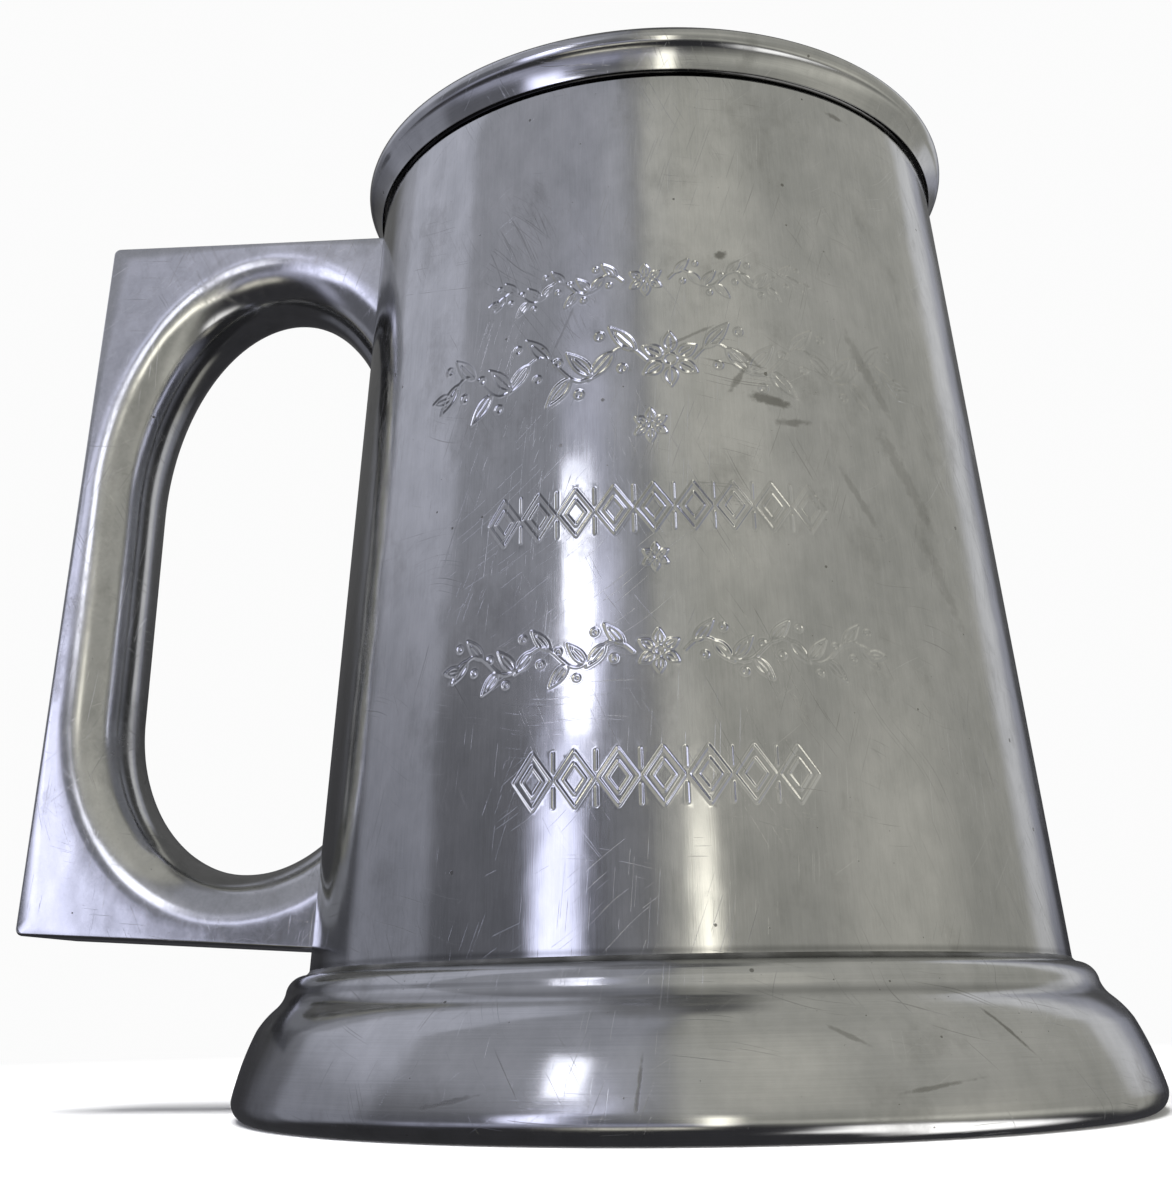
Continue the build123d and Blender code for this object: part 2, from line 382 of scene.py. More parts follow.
def drum_outline():
    """The drum's closed section, from the bottom of its outside, up and down its inside."""
    groove_middle = (GROOVE_TOP + GROOVE_BOTTOM) / 2
    bottom = (wall_radius(WALL_BOTTOM), WALL_BOTTOM)
    engraved_bottom = (wall_radius(ENGRAVED_BOTTOM), ENGRAVED_BOTTOM)
    engraved_top = (wall_radius(ENGRAVED_TOP), ENGRAVED_TOP)
    groove_start = (wall_radius(GROOVE_BOTTOM), GROOVE_BOTTOM)
    near_groove = (wall_radius(GROOVE_BOTTOM - 1), GROOVE_BOTTOM - 1)
    groove_floor = (wall_radius(groove_middle) - GROOVE_DEPTH, groove_middle)
    groove_end = (wall_radius(GROOVE_TOP), GROOVE_TOP)
    top = (wall_radius(WALL_TOP), WALL_TOP)
    top_inside = (inner_radius(WALL_TOP), WALL_TOP)
    bottom_inside = (inner_radius(WALL_BOTTOM), WALL_BOTTOM)
    return (
        line(bottom, engraved_bottom, 5)
        + line(engraved_bottom, engraved_top, 76)
        + line(engraved_top, near_groove, 8)
        + soft_corner(near_groove, groove_start, groove_floor, 0.18)
        + arc(groove_start, groove_floor, groove_end, 10)[1:]
        + line(groove_end, top)
        + line(top, top_inside)
        + line(top_inside, bottom_inside, 8)
        + line(bottom_inside, bottom)
    )


def unrolled(vertices):
    """Places on the unrolled outside of the wall (along, up) and radii, all in millimetres."""
    x, y, z = (np.array([v.co for v in vertices]) / MM).T
    radius = np.hypot(x, y)
    offset = (np.arctan2(y, x) - math.radians(FRONT_AZIMUTH) + math.pi) % math.tau - math.pi
    return offset * wall_radius(z), z, radius


def refine_round_strokes(work, strokes, levels=3):
    """Halves the faces near the strokes a few times, so that the cuts have enough points."""
    size = FIRST_FACE_SIZE
    for _ in range(levels):
        work.verts.ensure_lookup_table()
        along, up, radius = unrolled(work.verts)
        nearest = stroke_distances(along, up, strokes)
        nearest[radius < wall_radius(up) - 0.5] = FAR_AWAY
        wanted = nearest < STROKE_REACH + size * 0.75
        edges = [
            edge for edge in work.edges
            if wanted[edge.verts[0].index] and wanted[edge.verts[1].index]
        ]
        bmesh.ops.subdivide_edges(work, edges=edges, cuts=1, use_grid_fill=True)
        work.verts.index_update()
        size = size / 2


def drum():
    """The tapered wall with its engraved front, the groove under the rim and the plain inside."""
    strokes = ornament_rows()
    turns = drum_turns()
    outline = drum_outline()
    vertices = [(r * math.cos(a), r * math.sin(a), h) for r, h in outline for a in turns]
    columns = len(turns)
    faces = []
    for i in range(len(outline)):
        below = i * columns
        above = (i + 1) % len(outline) * columns
        for j in range(columns):
            k = (j + 1) % columns
            faces.append((below + j, below + k, above + k, above + j))
    piece = new_object("drum", vertices, faces)
    work = bmesh.new()
    work.from_mesh(piece.data)
    refine_round_strokes(work, strokes)
    work.verts.ensure_lookup_table()
    along, up, radius = unrolled(work.verts)
    depths = stroke_depths(stroke_distances(along, up, strokes))
    for vertex, z, r, depth in zip(work.verts, up, radius, depths):
        if ENGRAVED_BOTTOM < z < ENGRAVED_TOP and r > wall_radius(z) - 0.5:
            wanted = (wall_radius(z) + depth) / r
            vertex.co.x *= wanted
            vertex.co.y *= wanted
    bmesh.ops.triangulate(work, faces=[f for f in work.faces if len(f.verts) > 4])
    work.to_mesh(piece.data)
    work.free()
    finish_mesh(piece.data, 60)
    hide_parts("body_wall")
    return piece


# ---------------------------------------------------------------- turned pieces

def rim():
    """The mouth: a bead over a slightly hollow band that ends in a sharp, undercut lip."""
    bead_centre = HEIGHT - BEAD_RADIUS
    lip = (wall_radius(LIP_HEIGHT) + LIP_PROUD, LIP_HEIGHT)
    undercut = (wall_radius(LIP_HEIGHT + LIP_UNDERCUT) + SEAM, LIP_HEIGHT + LIP_UNDERCUT)
    band_middle = (lip[0] + BAND_MIDDLE_PROUD, LIP_HEIGHT + BAND_MIDDLE_RISE)
    bead_start = (BEAD_CENTRE_RADIUS + BEAD_START_OUT, bead_centre - BEAD_START_DROP)
    bead_side = (BEAD_CENTRE_RADIUS + BEAD_RADIUS, bead_centre)
    bead_top = (BEAD_CENTRE_RADIUS, HEIGHT)
    mouth_middle = (MOUTH_MIDDLE_RADIUS, bead_centre + 0.75)
    mouth = (inner_radius(WALL_TOP), bead_centre - 1.0)
    seat_inside = (inner_radius(WALL_TOP), WALL_TOP)
    seat_outside = (wall_radius(WALL_TOP) + SEAM, WALL_TOP)
    outline = (
        line(undercut, lip)
        + soft_corner(undercut, lip, band_middle, 0.12)
        + arc(lip, band_middle, bead_start, 10)[1:]
        + arc(bead_start, bead_side, bead_top, 18)
        + arc(bead_top, mouth_middle, mouth, 14)
        + line(mouth, seat_inside, 3)
        + line(seat_inside, seat_outside)
        + line(seat_outside, undercut)
    )
    piece = turned("rim", outline)
    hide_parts("rim_band")
    return piece


def foot():
    """The hollow foot ring: bead, groove, shoulder, flared skirt and a rounded standing edge."""
    collar_inside = wall_radius(FOOT_TOP) + FOOT_SEAM
    bead_start = (collar_inside + COLLAR_WIDTH, FOOT_TOP)
    bead_middle = (47.0, 14.4)
    bead_end = (47.6, 13.1)
    groove_middle = (47.92, 12.35)
    shoulder_start = (48.55, 11.6)
    shoulder_middle = (49.7, 10.5)
    skirt_start = (50.65, 9.2)
    skirt_middle = (52.02, 5.8)
    edge_start = (52.95, 2.3)
    edge_middle = (52.5, 0.75)
    edge_end = (51.3, 0)
    inside_edge = (49.6, 0)
    inside_low = (50.2, 1.4)
    inside_high = (48.45, 8.3)
    ledge_underside = (45.2, 10.4)
    ledge_inside_low = (42.6, 10.4)
    ledge_inside_high = (42.6, WALL_BOTTOM)
    collar_bottom = (wall_radius(WALL_BOTTOM) + FOOT_SEAM, WALL_BOTTOM)
    collar_top = (collar_inside, FOOT_TOP)
    outline = (
        line(collar_top, bead_start)
        + arc(bead_start, bead_middle, bead_end, 12)
        + arc(bead_end, groove_middle, shoulder_start, 8)
        + arc(shoulder_start, shoulder_middle, skirt_start, 12)
        + arc(skirt_start, skirt_middle, edge_start, 16)
        + arc(edge_start, edge_middle, edge_end, 12)
        + soft_corner(edge_end, inside_edge, inside_low, 0.3)
        + line(inside_low, inside_high, 4)
        + line(inside_high, ledge_underside, 2)
        + line(ledge_underside, ledge_inside_low)
        + line(ledge_inside_low, ledge_inside_high)
        + line(ledge_inside_high, collar_bottom)
        + line(collar_bottom, collar_top)
    )
    piece = turned("foot_ring", outline)
    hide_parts("foot")
    return piece


def foot_joint():
    """The solder between drum and foot, with the small cove that shows above the collar."""
    cove_top = FOOT_TOP + FOOT_COVE
    collar_bottom = (wall_radius(WALL_BOTTOM) + FOOT_SEAM, WALL_BOTTOM)
    collar_top = (wall_radius(FOOT_TOP) + FOOT_SEAM, FOOT_TOP)
    cove_outside = (collar_top[0] + COVE_OUT, FOOT_TOP)
    cove_middle = (wall_radius(cove_top) + COVE_MIDDLE, FOOT_TOP + COVE_MIDDLE)
    cove_end = (wall_radius(cove_top) - BURIED, cove_top)
    wall_bottom = (wall_radius(WALL_BOTTOM) - BURIED, WALL_BOTTOM)
    outline = (
        line(wall_bottom, collar_bottom)
        + line(collar_bottom, collar_top)
        + line(collar_top, cove_outside)
        + arc(cove_outside, cove_middle, cove_end, 8)
        + line(cove_end, wall_bottom, 3)
    )
    piece = turned("foot_joint", outline)
    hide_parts("foot_solder")
    return piece


def cup_floor():
    """The base plate, with a softened edge where it meets the drum."""
    plate_top = PLATE_BOTTOM + PLATE_THICKNESS
    lower_edge = (inner_radius(PLATE_BOTTOM) - SEAM, PLATE_BOTTOM)
    upper_edge = (inner_radius(plate_top) - SEAM, plate_top)
    outline = (
        line((0, PLATE_BOTTOM), lower_edge, 8)
        + line(lower_edge, upper_edge)
        + soft_corner(lower_edge, upper_edge, (0, plate_top), 0.3)
        + line((upper_edge[0] - 0.4, plate_top), (0, plate_top), 8)
        + [(0, plate_top)]
    )
    piece = turned_disc("cup_floor", outline)
    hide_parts("base_plate")
    return piece


# ---------------------------------------------------------------- the handle

def handle_corners():
    """The four corners of the handle's square outside, as (reach, height)."""
    reach_top = HANDLE_REACH_AT_ZERO - SPINE_TAPER * HEIGHT
    top_at_root = HANDLE_TOP_AT_WALL - TOP_RISE * (wall_radius(HEIGHT) - HANDLE_ROOT)
    top_at_spine = top_at_root + TOP_RISE * (reach_top - HANDLE_ROOT)
    bottom_at_root = HANDLE_BOTTOM_AT_WALL - BOTTOM_RISE * (wall_radius(0) - HANDLE_ROOT)
    bottom_at_spine = bottom_at_root + BOTTOM_RISE * (HANDLE_REACH_AT_ZERO - HANDLE_ROOT)
    reach_bottom = HANDLE_REACH_AT_ZERO - SPINE_TAPER * bottom_at_spine
    return [
        (HANDLE_ROOT, bottom_at_root),
        (reach_bottom, bottom_at_spine),
        (reach_top, top_at_spine),
        (HANDLE_ROOT, top_at_root),
    ]


def handle_outline(steps=10):
    """The closed outside, with its two spine corners rounded."""
    root_low, spine_low, spine_high, root_high = handle_corners()
    return (
        [root_low]
        + soft_corner(root_low, spine_low, spine_high, HANDLE_CORNER_RADIUS, steps)
        + soft_corner(spine_low, spine_high, root_high, HANDLE_CORNER_RADIUS, steps)
        + [root_high]
    )


def grip_point(t):
    """A point on the oval grip and its outward normal. t goes once round from 0 to 1."""
    a = GRIP_HALF_WIDTH
    straight = GRIP_UPPER_CENTRE - GRIP_LOWER_CENTRE
    lengths = [GRIP_UPPER_LENGTH, straight, GRIP_LOWER_LENGTH, straight]
    place = (t % 1) * sum(lengths)
    for index, length in enumerate(lengths):
        if place <= length:
            break
        place -= length
    part = place / length
    if index == 0 or index == 2:
        b = GRIP_UPPER_HEIGHT if index == 0 else GRIP_LOWER_HEIGHT
        centre = GRIP_UPPER_CENTRE if index == 0 else GRIP_LOWER_CENTRE
        angle = math.pi * part + (0 if index == 0 else math.pi)
        point = Vector((GRIP_CENTRE + a * math.cos(angle), centre + b * math.sin(angle)))
        normal = Vector((math.cos(angle) / a, math.sin(angle) / b)).normalized()
        return point, normal
    if index == 1:
        return Vector((GRIP_CENTRE - a, GRIP_UPPER_CENTRE - part * straight)), Vector((-1, 0))
    return Vector((GRIP_CENTRE + a, GRIP_LOWER_CENTRE + part * straight)), Vector((1, 0))


def hit_outline(start, direction, outline):
    """Where a ray from inside leaves a closed outline."""
    nearest = None
    for p, q in zip(outline, outline[1:] + outline[:1]):
        edge = Vector(q) - Vector(p)
        cross = direction.x * edge.y - direction.y * edge.x
        if abs(cross) > 1e-12:
            gap = Vector(p) - start
            far = (gap.x * edge.y - gap.y * edge.x) / cross
            along = (gap.x * direction.y - gap.y * direction.x) / cross
            if far > 0 and -1e-9 <= along <= 1 + 1e-9 and (nearest is None or far < nearest):
                nearest = far
    return start + direction * nearest


def grip_steps(outline, count=300, tries=3000):
    """Values of t that spread points evenly round the grip and finely at the outside corners."""
    values = [i / tries for i in range(tries)]
    inner = [grip_point(t) for t in values]
    outer = [hit_outline(point, normal, outline) for point, normal in inner]
    weights = []
    for i in range(tries):
        k = (i + 1) % tries
        step_in = (inner[k][0] - inner[i][0]).length
        step_out = (outer[k] - outer[i]).length
        crowded = 12 if is_corner(outer[i]) else 1
        weights.append(step_in + step_out * crowded + 0.02)
    total = np.cumsum(weights)
    wanted = np.linspace(0, total[-1], count, endpoint=False)
    return list(np.interp(wanted, np.concatenate([[0], total]), values + [1.0]))


def is_corner(point):
    """Whether a point of the outside lies on one of the two rounded spine corners."""
    spine = handle_corners()[1:3]
    return any((point - Vector(c)).length < 1.5 * HANDLE_CORNER_RADIUS for c in spine)


def handle_section(t, outline):
    """One side of the closed section at t, from the middle of the grip to the outside's middle."""
    half = HANDLE_WIDTH / 2
    point, normal = grip_point(t)
    outside = hit_outline(point, normal, outline)
    section = [(point, 0.0)]
    flat = half - GRIP_ROUNDING
    round_steps = 14
    for i in range(round_steps + 1):
        angle = math.pi / 2 * i / round_steps
        inward = GRIP_ROUNDING * (1 - math.cos(angle))
        section.append((point + normal * inward, flat + GRIP_ROUNDING * math.sin(angle)))
    face_start = point + normal * GRIP_ROUNDING
    face_end = outside - normal * HANDLE_EDGE_RADIUS
    for i in range(1, 4):
        section.append((face_start.lerp(face_end, i / 4), half))
    edge_steps = 4
    for i in range(edge_steps + 1):
        angle = math.pi / 2 * i / edge_steps
        inward = HANDLE_EDGE_RADIUS * (1 - math.sin(angle))
        drop = HANDLE_EDGE_RADIUS * (1 - math.cos(angle))
        section.append((outside - normal * inward, half - drop))
    section.append((outside, half / 3))
    return section


def handle():
    """The square-backed handle with its rounded oval grip, cut off along the drum's wall."""
    outline = handle_outline()
    vertices = []
    faces = []
    steps = grip_steps(outline)
    for t in steps:
        near = handle_section(t, outline)
        loop = [(p, -y) for p, y in near] + [(p, y) for p, y in reversed(near[1:])]
        count = len(loop)
        vertices += [(-p.x, y, p.y) for p, y in loop]
    for i in range(len(steps)):
        here = i * count
        there = (i + 1) % len(steps) * count
        for j in range(count):
            k = (j + 1) % count
            faces.append((here + j, here + k, there + k, there + j))
    piece = new_object("handle_casting", vertices, faces)
    cut_along_wall(piece)
    finish_mesh(piece.data, 28)
    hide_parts("handle")
    return piece


def cut_along_wall(piece):
    """Takes away what lies inside the drum's cone, a seam's width out from the wall."""
    low = -5
    high = HEIGHT + 5
    outline = (
        line((0, low), (wall_radius(low) + HANDLE_SEAM, low))
        + line((wall_radius(low) + HANDLE_SEAM, low), (wall_radius(high) + HANDLE_SEAM, high))
        + line((wall_radius(high) + HANDLE_SEAM, high), (0, high))
        + [(0, high)]
    )
    cutter = turned_disc("cutter", outline, CUTTER_SEGMENTS)
    cut = piece.modifiers.new("wall", "BOOLEAN")
    cut.object = cutter
    cut.operation = "DIFFERENCE"
    cut.solver = "EXACT"
    graph = bpy.context.evaluated_depsgraph_get()
    mesh = bpy.data.meshes.new_from_object(piece.evaluated_get(graph))
    piece.modifiers.clear()
    piece.data = mesh
    bpy.data.objects.remove(cutter)


# ---------------------------------------------------------------- material nodes

def add_node(tree, kind, inputs=None, **settings):
    """A shader node with its settings, and its inputs set to values or linked to sockets."""
    made = tree.nodes.new(kind)
    for name, value in settings.items():
        setattr(made, name, value)
    for name, value in (inputs or {}).items():
        if isinstance(value, bpy.types.NodeSocket):
            tree.links.new(value, made.inputs[name])
        else:
            made.inputs[name].default_value = value
    return made


def maths(tree, operation, a, b=0.0, c=0.0):
    """One Math node's result."""
    return add_node(tree, "ShaderNodeMath", {0: a, 1: b, 2: c}, operation=operation).outputs[0]


def ease(tree, value, low, high, bottom=0.0, top=1.0):
    """Value eased from bottom to top as it goes from low to high."""
    made = add_node(
        tree, "ShaderNodeMapRange",
        {0: value, 1: low, 2: high, 3: bottom, 4: top},
        interpolation_type="SMOOTHSTEP",
    )
    return made.outputs[0]


def blend_colours(tree, factor, first, second, blend_type="MIX"):
    """Two colours mixed by a factor."""
    made = add_node(
        tree, "ShaderNodeMix", {0: factor, 6: first, 7: second},
        data_type="RGBA", blend_type=blend_type,
    )
    return made.outputs[2]


def noise(tree, place, scale, detail=2.0, roughness=0.5, stretch=(1, 1, 1), turn=0.0, shift=0.0):
    """Noise over a place in millimetres. stretch scales each axis and turn rotates the pattern."""
    mapped = add_node(
        tree, "ShaderNodeMapping",
        {"Vector": place, "Location": (shift, shift * 0.7, shift * 0.3),
         "Rotation": (0, 0, math.radians(turn))},
    )
    scaled = add_node(
        tree, "ShaderNodeVectorMath", {0: mapped.outputs[0], 1: stretch}, operation="MULTIPLY"
    )
    made = add_node(
        tree, "ShaderNodeTexNoise",
        {"Vector": scaled.outputs[0], "Scale": scale, "Detail": detail, "Roughness": roughness},
    )
    return made.outputs[0]


def round_place(tree):
    """Where a point lies on a turned piece: (round it, up, out) in millimetres."""
    position = add_node(tree, "ShaderNodeTexCoord").outputs["Object"]
    parts = add_node(tree, "ShaderNodeSeparateXYZ", {0: position}).outputs
    x = maths(tree, "MULTIPLY", parts[0], 1 / MM)
    y = maths(tree, "MULTIPLY", parts[1], 1 / MM)
    z = maths(tree, "MULTIPLY", parts[2], 1 / MM)
    out = maths(tree, "SQRT", maths(tree, "ADD", maths(tree, "MULTIPLY", x, x),
                                    maths(tree, "MULTIPLY", y, y)))
    turn = maths(tree, "ARCTAN2", y, x)
    along = maths(tree, "MULTIPLY", turn, PATTERN_RADIUS)
    return add_node(tree, "ShaderNodeCombineXYZ", {0: along, 1: z, 2: out}).outputs[0]


def flat_place(tree):
    """Where a point lies on the handle: (reach, up, across) in millimetres."""
    position = add_node(tree, "ShaderNodeTexCoord").outputs["Object"]
    parts = add_node(tree, "ShaderNodeSeparateXYZ", {0: position}).outputs
    x = maths(tree, "MULTIPLY", parts[0], 1 / MM)
    y = maths(tree, "MULTIPLY", parts[1], 1 / MM)
    z = maths(tree, "MULTIPLY", parts[2], 1 / MM)
    return add_node(tree, "ShaderNodeCombineXYZ", {0: x, 1: z, 2: y}).outputs[0]


def scratch_lines(tree, place, turn, shift, width, threshold, scale):
    """Thin, slightly bent lines in one direction: 1 in a line, 0 beside it."""
    drift = noise(tree, place, 0.05, 1.0, 0.5, (1, 1, 1), turn, shift + 11)
    push = add_node(
        tree, "ShaderNodeCombineXYZ", {0: drift, 1: maths(tree, "MULTIPLY", drift, 9.0)}
    ).outputs[0]
    pushed = add_node(
        tree, "ShaderNodeVectorMath", {0: place, 1: push}, operation="ADD"
    ).outputs[0]
    streaks = noise(tree, pushed, scale, 1.5, 0.5, (0.16, width, 0.3), turn, shift)
    return ease(tree, streaks, threshold, threshold + 0.03)


def scratches(tree, place, turn, shift, width, threshold, scale=0.5):
    """Scratches in one direction that come in patches."""
    thin = scratch_lines(tree, place, turn, shift, width, threshold, scale)
    patches = ease(tree, noise(tree, place, 0.07, 2.0, 0.6, (1, 1, 1), turn, shift + 31), 0.50, 0.62)
    return maths(tree, "MULTIPLY", thin, patches)


def specks(tree, place, scale, radius, share):
    """Small dark specks: 1 inside one, 0 outside. share of the cells have one."""
    cells = add_node(
        tree, "ShaderNodeTexVoronoi", {"Vector": place, "Scale": scale, "Randomness": 1.0}
    )
    colour = add_node(tree, "ShaderNodeSeparateColor", {0: cells.outputs["Color"]}).outputs
    chosen = maths(tree, "LESS_THAN", colour[0], share)
    size = maths(tree, "MULTIPLY", colour[1], radius)
    near = maths(tree, "LESS_THAN", cells.outputs["Distance"], size)
    return maths(tree, "MULTIPLY", chosen, near)


def mark_distance(tree, place, mark):
    """Distance from a mark's middle, 1 at its edge. A mark is (azimuth, height, half-length,
    half-width, angle, strength), with the angle of its length above the horizontal. Its strength
    isn't needed here."""
    azimuth, height, long, wide, angle = mark[:5]
    along = math.radians(azimuth) * PATTERN_RADIUS
    moved = add_node(
        tree, "ShaderNodeVectorMath", {0: place, 1: (along, height, 0)}, operation="SUBTRACT"
    ).outputs[0]
    turned_back = add_node(
        tree, "ShaderNodeVectorRotate", {"Vector": moved, "Angle": -math.radians(angle)},
        rotation_type="Z_AXIS",
    ).outputs[0]
    scaled = add_node(
        tree, "ShaderNodeVectorMath", {0: turned_back, 1: (1 / long, 1 / wide, 0)},
        operation="MULTIPLY",
    ).outputs[0]
    return add_node(
        tree, "ShaderNodeVectorMath", {0: scaled}, operation="LENGTH"
    ).outputs["Value"]


def stain(tree, place, mark, ragged):
    """One soft-edged, ragged mark."""
    edge = maths(tree, "ADD", mark_distance(tree, place, mark), ragged)
    return ease(tree, edge, 1.0, 0.35, 0.0, mark[5])


def stains(tree, place, marks):
    """All ragged marks together: 0 where there is none."""
    ragged = maths(tree, "MULTIPLY_ADD", noise(tree, place, 0.9, 3.0, 0.6, (1, 1, 1)), 1.6, -0.8)
    found = None
    for mark in marks:
        one = stain(tree, place, mark, ragged)
        found = one if found is None else maths(tree, "MAXIMUM", found, one)
    return found


def scuffs(tree, place, patches):
    """Crossed fine scratches inside soft-edged patches."""
    crossed = maths(
        tree, "MAXIMUM",
        scratch_lines(tree, place, 66, 5, 13, 0.60, 0.55),
        scratch_lines(tree, place, 38, 77, 13, 0.62, 0.55),
    )
    return maths(tree, "MULTIPLY", crossed, stains(tree, place, patches))


# Pewter's colours: clean, dull, stained, near-black painted shade for narrow gaps, and freshly
# scratched
LIGHT_PEWTER = (0.60, 0.60, 0.595, 1)
DARK_PEWTER = (0.44, 0.445, 0.44, 1)
OXIDE = (0.17, 0.165, 0.15, 1)
# Near-black for the painted shade in the narrow gaps under the lip and at the foot
PAINTED_SHADE_BLACK = (0.012, 0.011, 0.010, 1)
FRESH_CUT = (0.80, 0.80, 0.81, 1)


def crevice_painted_shade(tree, place, shaded_gaps):
    """Painted shade: near-black painted into the narrow gaps between the given heights on turned
    pieces, where shadow falls.
    """
    height = add_node(tree, "ShaderNodeSeparateXYZ", {0: place}).outputs[1]
    found = None
    for low, high, soft, strength in shaded_gaps:
        above = ease(tree, height, low - soft, low + soft)
        below = ease(tree, height, high + soft, high - soft, 0.0, strength)
        one = maths(tree, "MULTIPLY", above, below)
        found = one if found is None else maths(tree, "MAXIMUM", found, one)
    return found


def line_layers(tree, place, wear):
    """Scratches in five directions, as (dark lines, bright lines)."""
    dark_lines = None
    bright_lines = None
    # Each: direction, place in the noise, fineness and threshold
    layers = [
        (12, 3, 15, 0.69), (-35, 50, 14, 0.705), (62, 90, 17, 0.69), (95, 140, 13, 0.705),
        (-70, 200, 16, 0.70),
    ]
    for index, (turn, shift, width, threshold) in enumerate(layers):
        found = scratches(tree, place, turn, shift, width, threshold - 0.01 * wear)
        if index % 2 == 0:
            dark_lines = found if dark_lines is None else maths(tree, "MAXIMUM", dark_lines, found)
        else:
            bright_lines = found if bright_lines is None else maths(
                tree, "MAXIMUM", bright_lines, found
            )
    return dark_lines, bright_lines


def brushed_grain(tree, place, brush):
    """Coarse and fine brushing together."""
    brushing = noise(tree, place, 1.0, 3.0, 0.65, brush)
    fine_lines = noise(tree, place, 2.7, 2.0, 0.7, brush, 0.0, 17.0)
    return maths(tree, "MULTIPLY_ADD", fine_lines, 0.5, maths(tree, "MULTIPLY", brushing, 0.5))


def gathered_dirt(tree, place, marks, patches):
    """Dark specks, the ragged marks and the scuffed patches together."""
    dots = specks(tree, place, 0.42, 0.11, 0.22)
    pits = specks(tree, place, 1.3, 0.09, 0.25)
    dirt = maths(tree, "MAXIMUM", dots, pits)
    if marks:
        dirt = maths(tree, "MAXIMUM", dirt, stains(tree, place, marks))
    if patches:
        dirt = maths(tree, "MAXIMUM", dirt, scuffs(tree, place, patches))
    return dirt


def fine_relief(tree, place, grain, lines, dirt):
    """Brushing, scratches and pits over the metal's slow unevenness, as a normal."""
    height = maths(tree, "SUBTRACT", maths(tree, "MULTIPLY", grain, 0.30), lines)
    height = maths(tree, "SUBTRACT", height, dirt)
    cut = add_node(tree, "ShaderNodeBump", {"Strength": 0.35, "Distance": 0.00002, "Height": height})
    waves = noise(tree, place, 0.12, 2.0, 0.5, (1, 0.7, 1), 0.0, 120.0)
    bump = add_node(
        tree, "ShaderNodeBump",
        {"Strength": 0.30, "Distance": 0.0003, "Height": waves, "Normal": cut.outputs[0]},
    )
    return bump.outputs[0]


def pewter(name, place_of, brush, marks=(), patches=(), shaded_gaps=(), roughness=0.12, wear=1.0):
    """Satin pewter: brushed, scratched, specked and clouded by a thin oxide film, with painted shade
    in the given narrow gaps.
    """
    material = bpy.data.materials.new(name)
    material.use_nodes = True
    tree = material.node_tree
    shader = tree.nodes["Principled BSDF"]
    place = place_of(tree)

    clouds = noise(tree, place, 0.035, 4.0, 0.55, (1, 0.8, 1))
    mottle = noise(tree, place, 0.35, 4.0, 0.6, (1, 0.6, 1))
    film = ease(tree, noise(tree, place, 0.11, 6.0, 0.65, (1, 0.7, 1), 0.0, 71.0), 0.52, 0.72)
    grain = brushed_grain(tree, place, brush)
    dark_lines, bright_lines = line_layers(tree, place, wear)
    dirt = gathered_dirt(tree, place, marks, patches)

    tone = maths(tree, "MULTIPLY_ADD", mottle, 0.45, maths(tree, "MULTIPLY", clouds, 0.75))
    colour = blend_colours(tree, ease(tree, tone, 0.38, 0.82), DARK_PEWTER, LIGHT_PEWTER)
    colour = blend_colours(tree, ease(tree, grain, 0.30, 0.70, 0.0, 0.16), colour, FRESH_CUT)
    colour = blend_colours(tree, maths(tree, "MULTIPLY", bright_lines, 0.28), colour, FRESH_CUT)
    colour = blend_colours(tree, maths(tree, "MULTIPLY", dark_lines, 0.40), colour, OXIDE)
    colour = blend_colours(tree, maths(tree, "MULTIPLY", film, 0.28), colour, OXIDE)
    colour = blend_colours(tree, maths(tree, "MULTIPLY", dirt, 0.75), colour, OXIDE)
    # Painted shade: the narrow gaps are darkened in the colour itself
    if shaded_gaps:
        colour = blend_colours(tree, crevice_painted_shade(tree, place, shaded_gaps), colour, PAINTED_SHADE_BLACK)

    rough = maths(tree, "MULTIPLY_ADD", clouds, 0.14, roughness - 0.07)
    rough = maths(tree, "MULTIPLY_ADD", film, 0.12, rough)
    rough = maths(tree, "MULTIPLY_ADD", grain, 0.10, maths(tree, "SUBTRACT", rough, 0.05))
    rough = maths(tree, "MULTIPLY_ADD", dirt, 0.2, rough)

    lines = maths(tree, "ADD", dark_lines, bright_lines)
    tree.links.new(colour, shader.inputs["Base Color"])
    tree.links.new(rough, shader.inputs["Roughness"])
    tree.links.new(fine_relief(tree, place, grain, lines, dirt), shader.inputs["Normal"])
    shader.inputs["Metallic"].default_value = 1.0
    return material


def solder_material():
    """Tin solder that has gone dull and dark in the joints."""
    material = bpy.data.materials.new("aged_solder")
    material.use_nodes = True
    tree = material.node_tree
    shader = tree.nodes["Principled BSDF"]
    place = round_place(tree)
    lumps = noise(tree, place, 0.25, 3.0, 0.5, (1, 1, 1))
    dull = (0.10, 0.10, 0.095, 1)
    bright = (0.22, 0.22, 0.215, 1)
    colour = blend_colours(tree, ease(tree, lumps, 0.35, 0.7), dull, bright)
    rough = maths(tree, "MULTIPLY_ADD", lumps, 0.2, 0.25)
    bump = add_node(tree, "ShaderNodeBump", {"Strength": 0.3, "Distance": 0.00008, "Height": lumps})
    tree.links.new(colour, shader.inputs["Base Color"])
    tree.links.new(rough, shader.inputs["Roughness"])
    tree.links.new(bump.outputs[0], shader.inputs["Normal"])
    shader.inputs["Metallic"].default_value = 0.9
    return material


